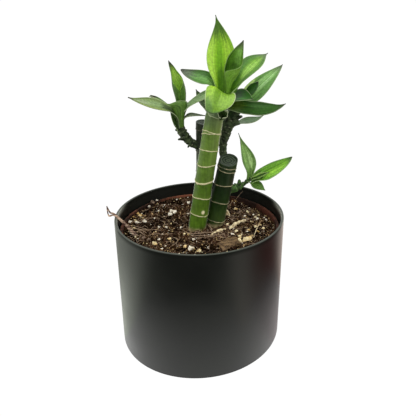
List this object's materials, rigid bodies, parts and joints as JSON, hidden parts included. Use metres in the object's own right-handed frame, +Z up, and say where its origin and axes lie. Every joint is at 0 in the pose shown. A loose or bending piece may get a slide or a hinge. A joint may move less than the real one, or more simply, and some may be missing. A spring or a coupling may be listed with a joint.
{
  "type": "lucky bamboo house plant in a pot",
  "caption": "Leafy lucky bamboo with ringed upright canes and side shoots, planted in soil in a nursery pot that stands inside a plain black cylindrical pot.",
  "frame": {"origin": "middle of the black pot's flat underside", "axes": "+Z up along the pot's axis; -Y is the front, towards the viewer of the picture"},
  "size_m": [0.1448, 0.135, 0.2625],
  "materials": {
    "black_pot": "satin black moulded plastic",
    "terracotta_plastic": "matt terracotta-coloured thin plastic, dusty with soil",
    "potting_mix": "damp dark brown peat and bark mix with white perlite grains",
    "green_cane": "smooth waxy living green cane with tan node rings",
    "dark_cane": "smooth waxy dark green cane with tan node rings",
    "shoot_bark": "rough dark green-brown stem with leaf scars",
    "striped_leaf": "waxy leaf, lime centre with darker green margins and tip",
    "green_leaf": "waxy mid to dark green leaf with a pale thin edge",
    "dry_wood": "dry fibrous brown bark, sticks and roots"
  },
  "bodies": {
    "root": {"outer_pot": "black_pot", "nursery_pot": "terracotta_plastic", "soil": "potting_mix", "main_cane": "green_cane", "dark_cane": "dark_cane", "rear_cane": "dark_cane", "right_shoot_stem": "shoot_bark", "left_shoot_stem": "shoot_bark", "small_shoot_stem": "shoot_bark", "top_leaf_folded": "green_leaf", "top_leaf_upright": "striped_leaf", "top_leaf_right": "striped_leaf", "top_leaf_left": "green_leaf", "top_leaf_front": "striped_leaf", "top_leaf_back_left": "green_leaf", "right_leaf_large": "striped_leaf", "right_leaf_low": "green_leaf", "right_leaf_young": "green_leaf", "right_leaf_front": "green_leaf", "right_leaf_small": "green_leaf", "left_leaf_upright": "striped_leaf", "left_leaf_level": "striped_leaf", "left_leaf_curled": "green_leaf", "left_leaf_inner": "green_leaf", "left_leaf_tucked": "green_leaf", "left_leaf_small": "green_leaf", "small_leaf_upright": "striped_leaf", "small_leaf_right": "striped_leaf", "small_leaf_rolled": "green_leaf", "small_leaf_drooping": "green_leaf", "bark_chip": "dry_wood", "stick_front": "dry_wood", "stick_right": "dry_wood", "dry_root_tuft": "dry_wood"}
  },
  "joints": []
}
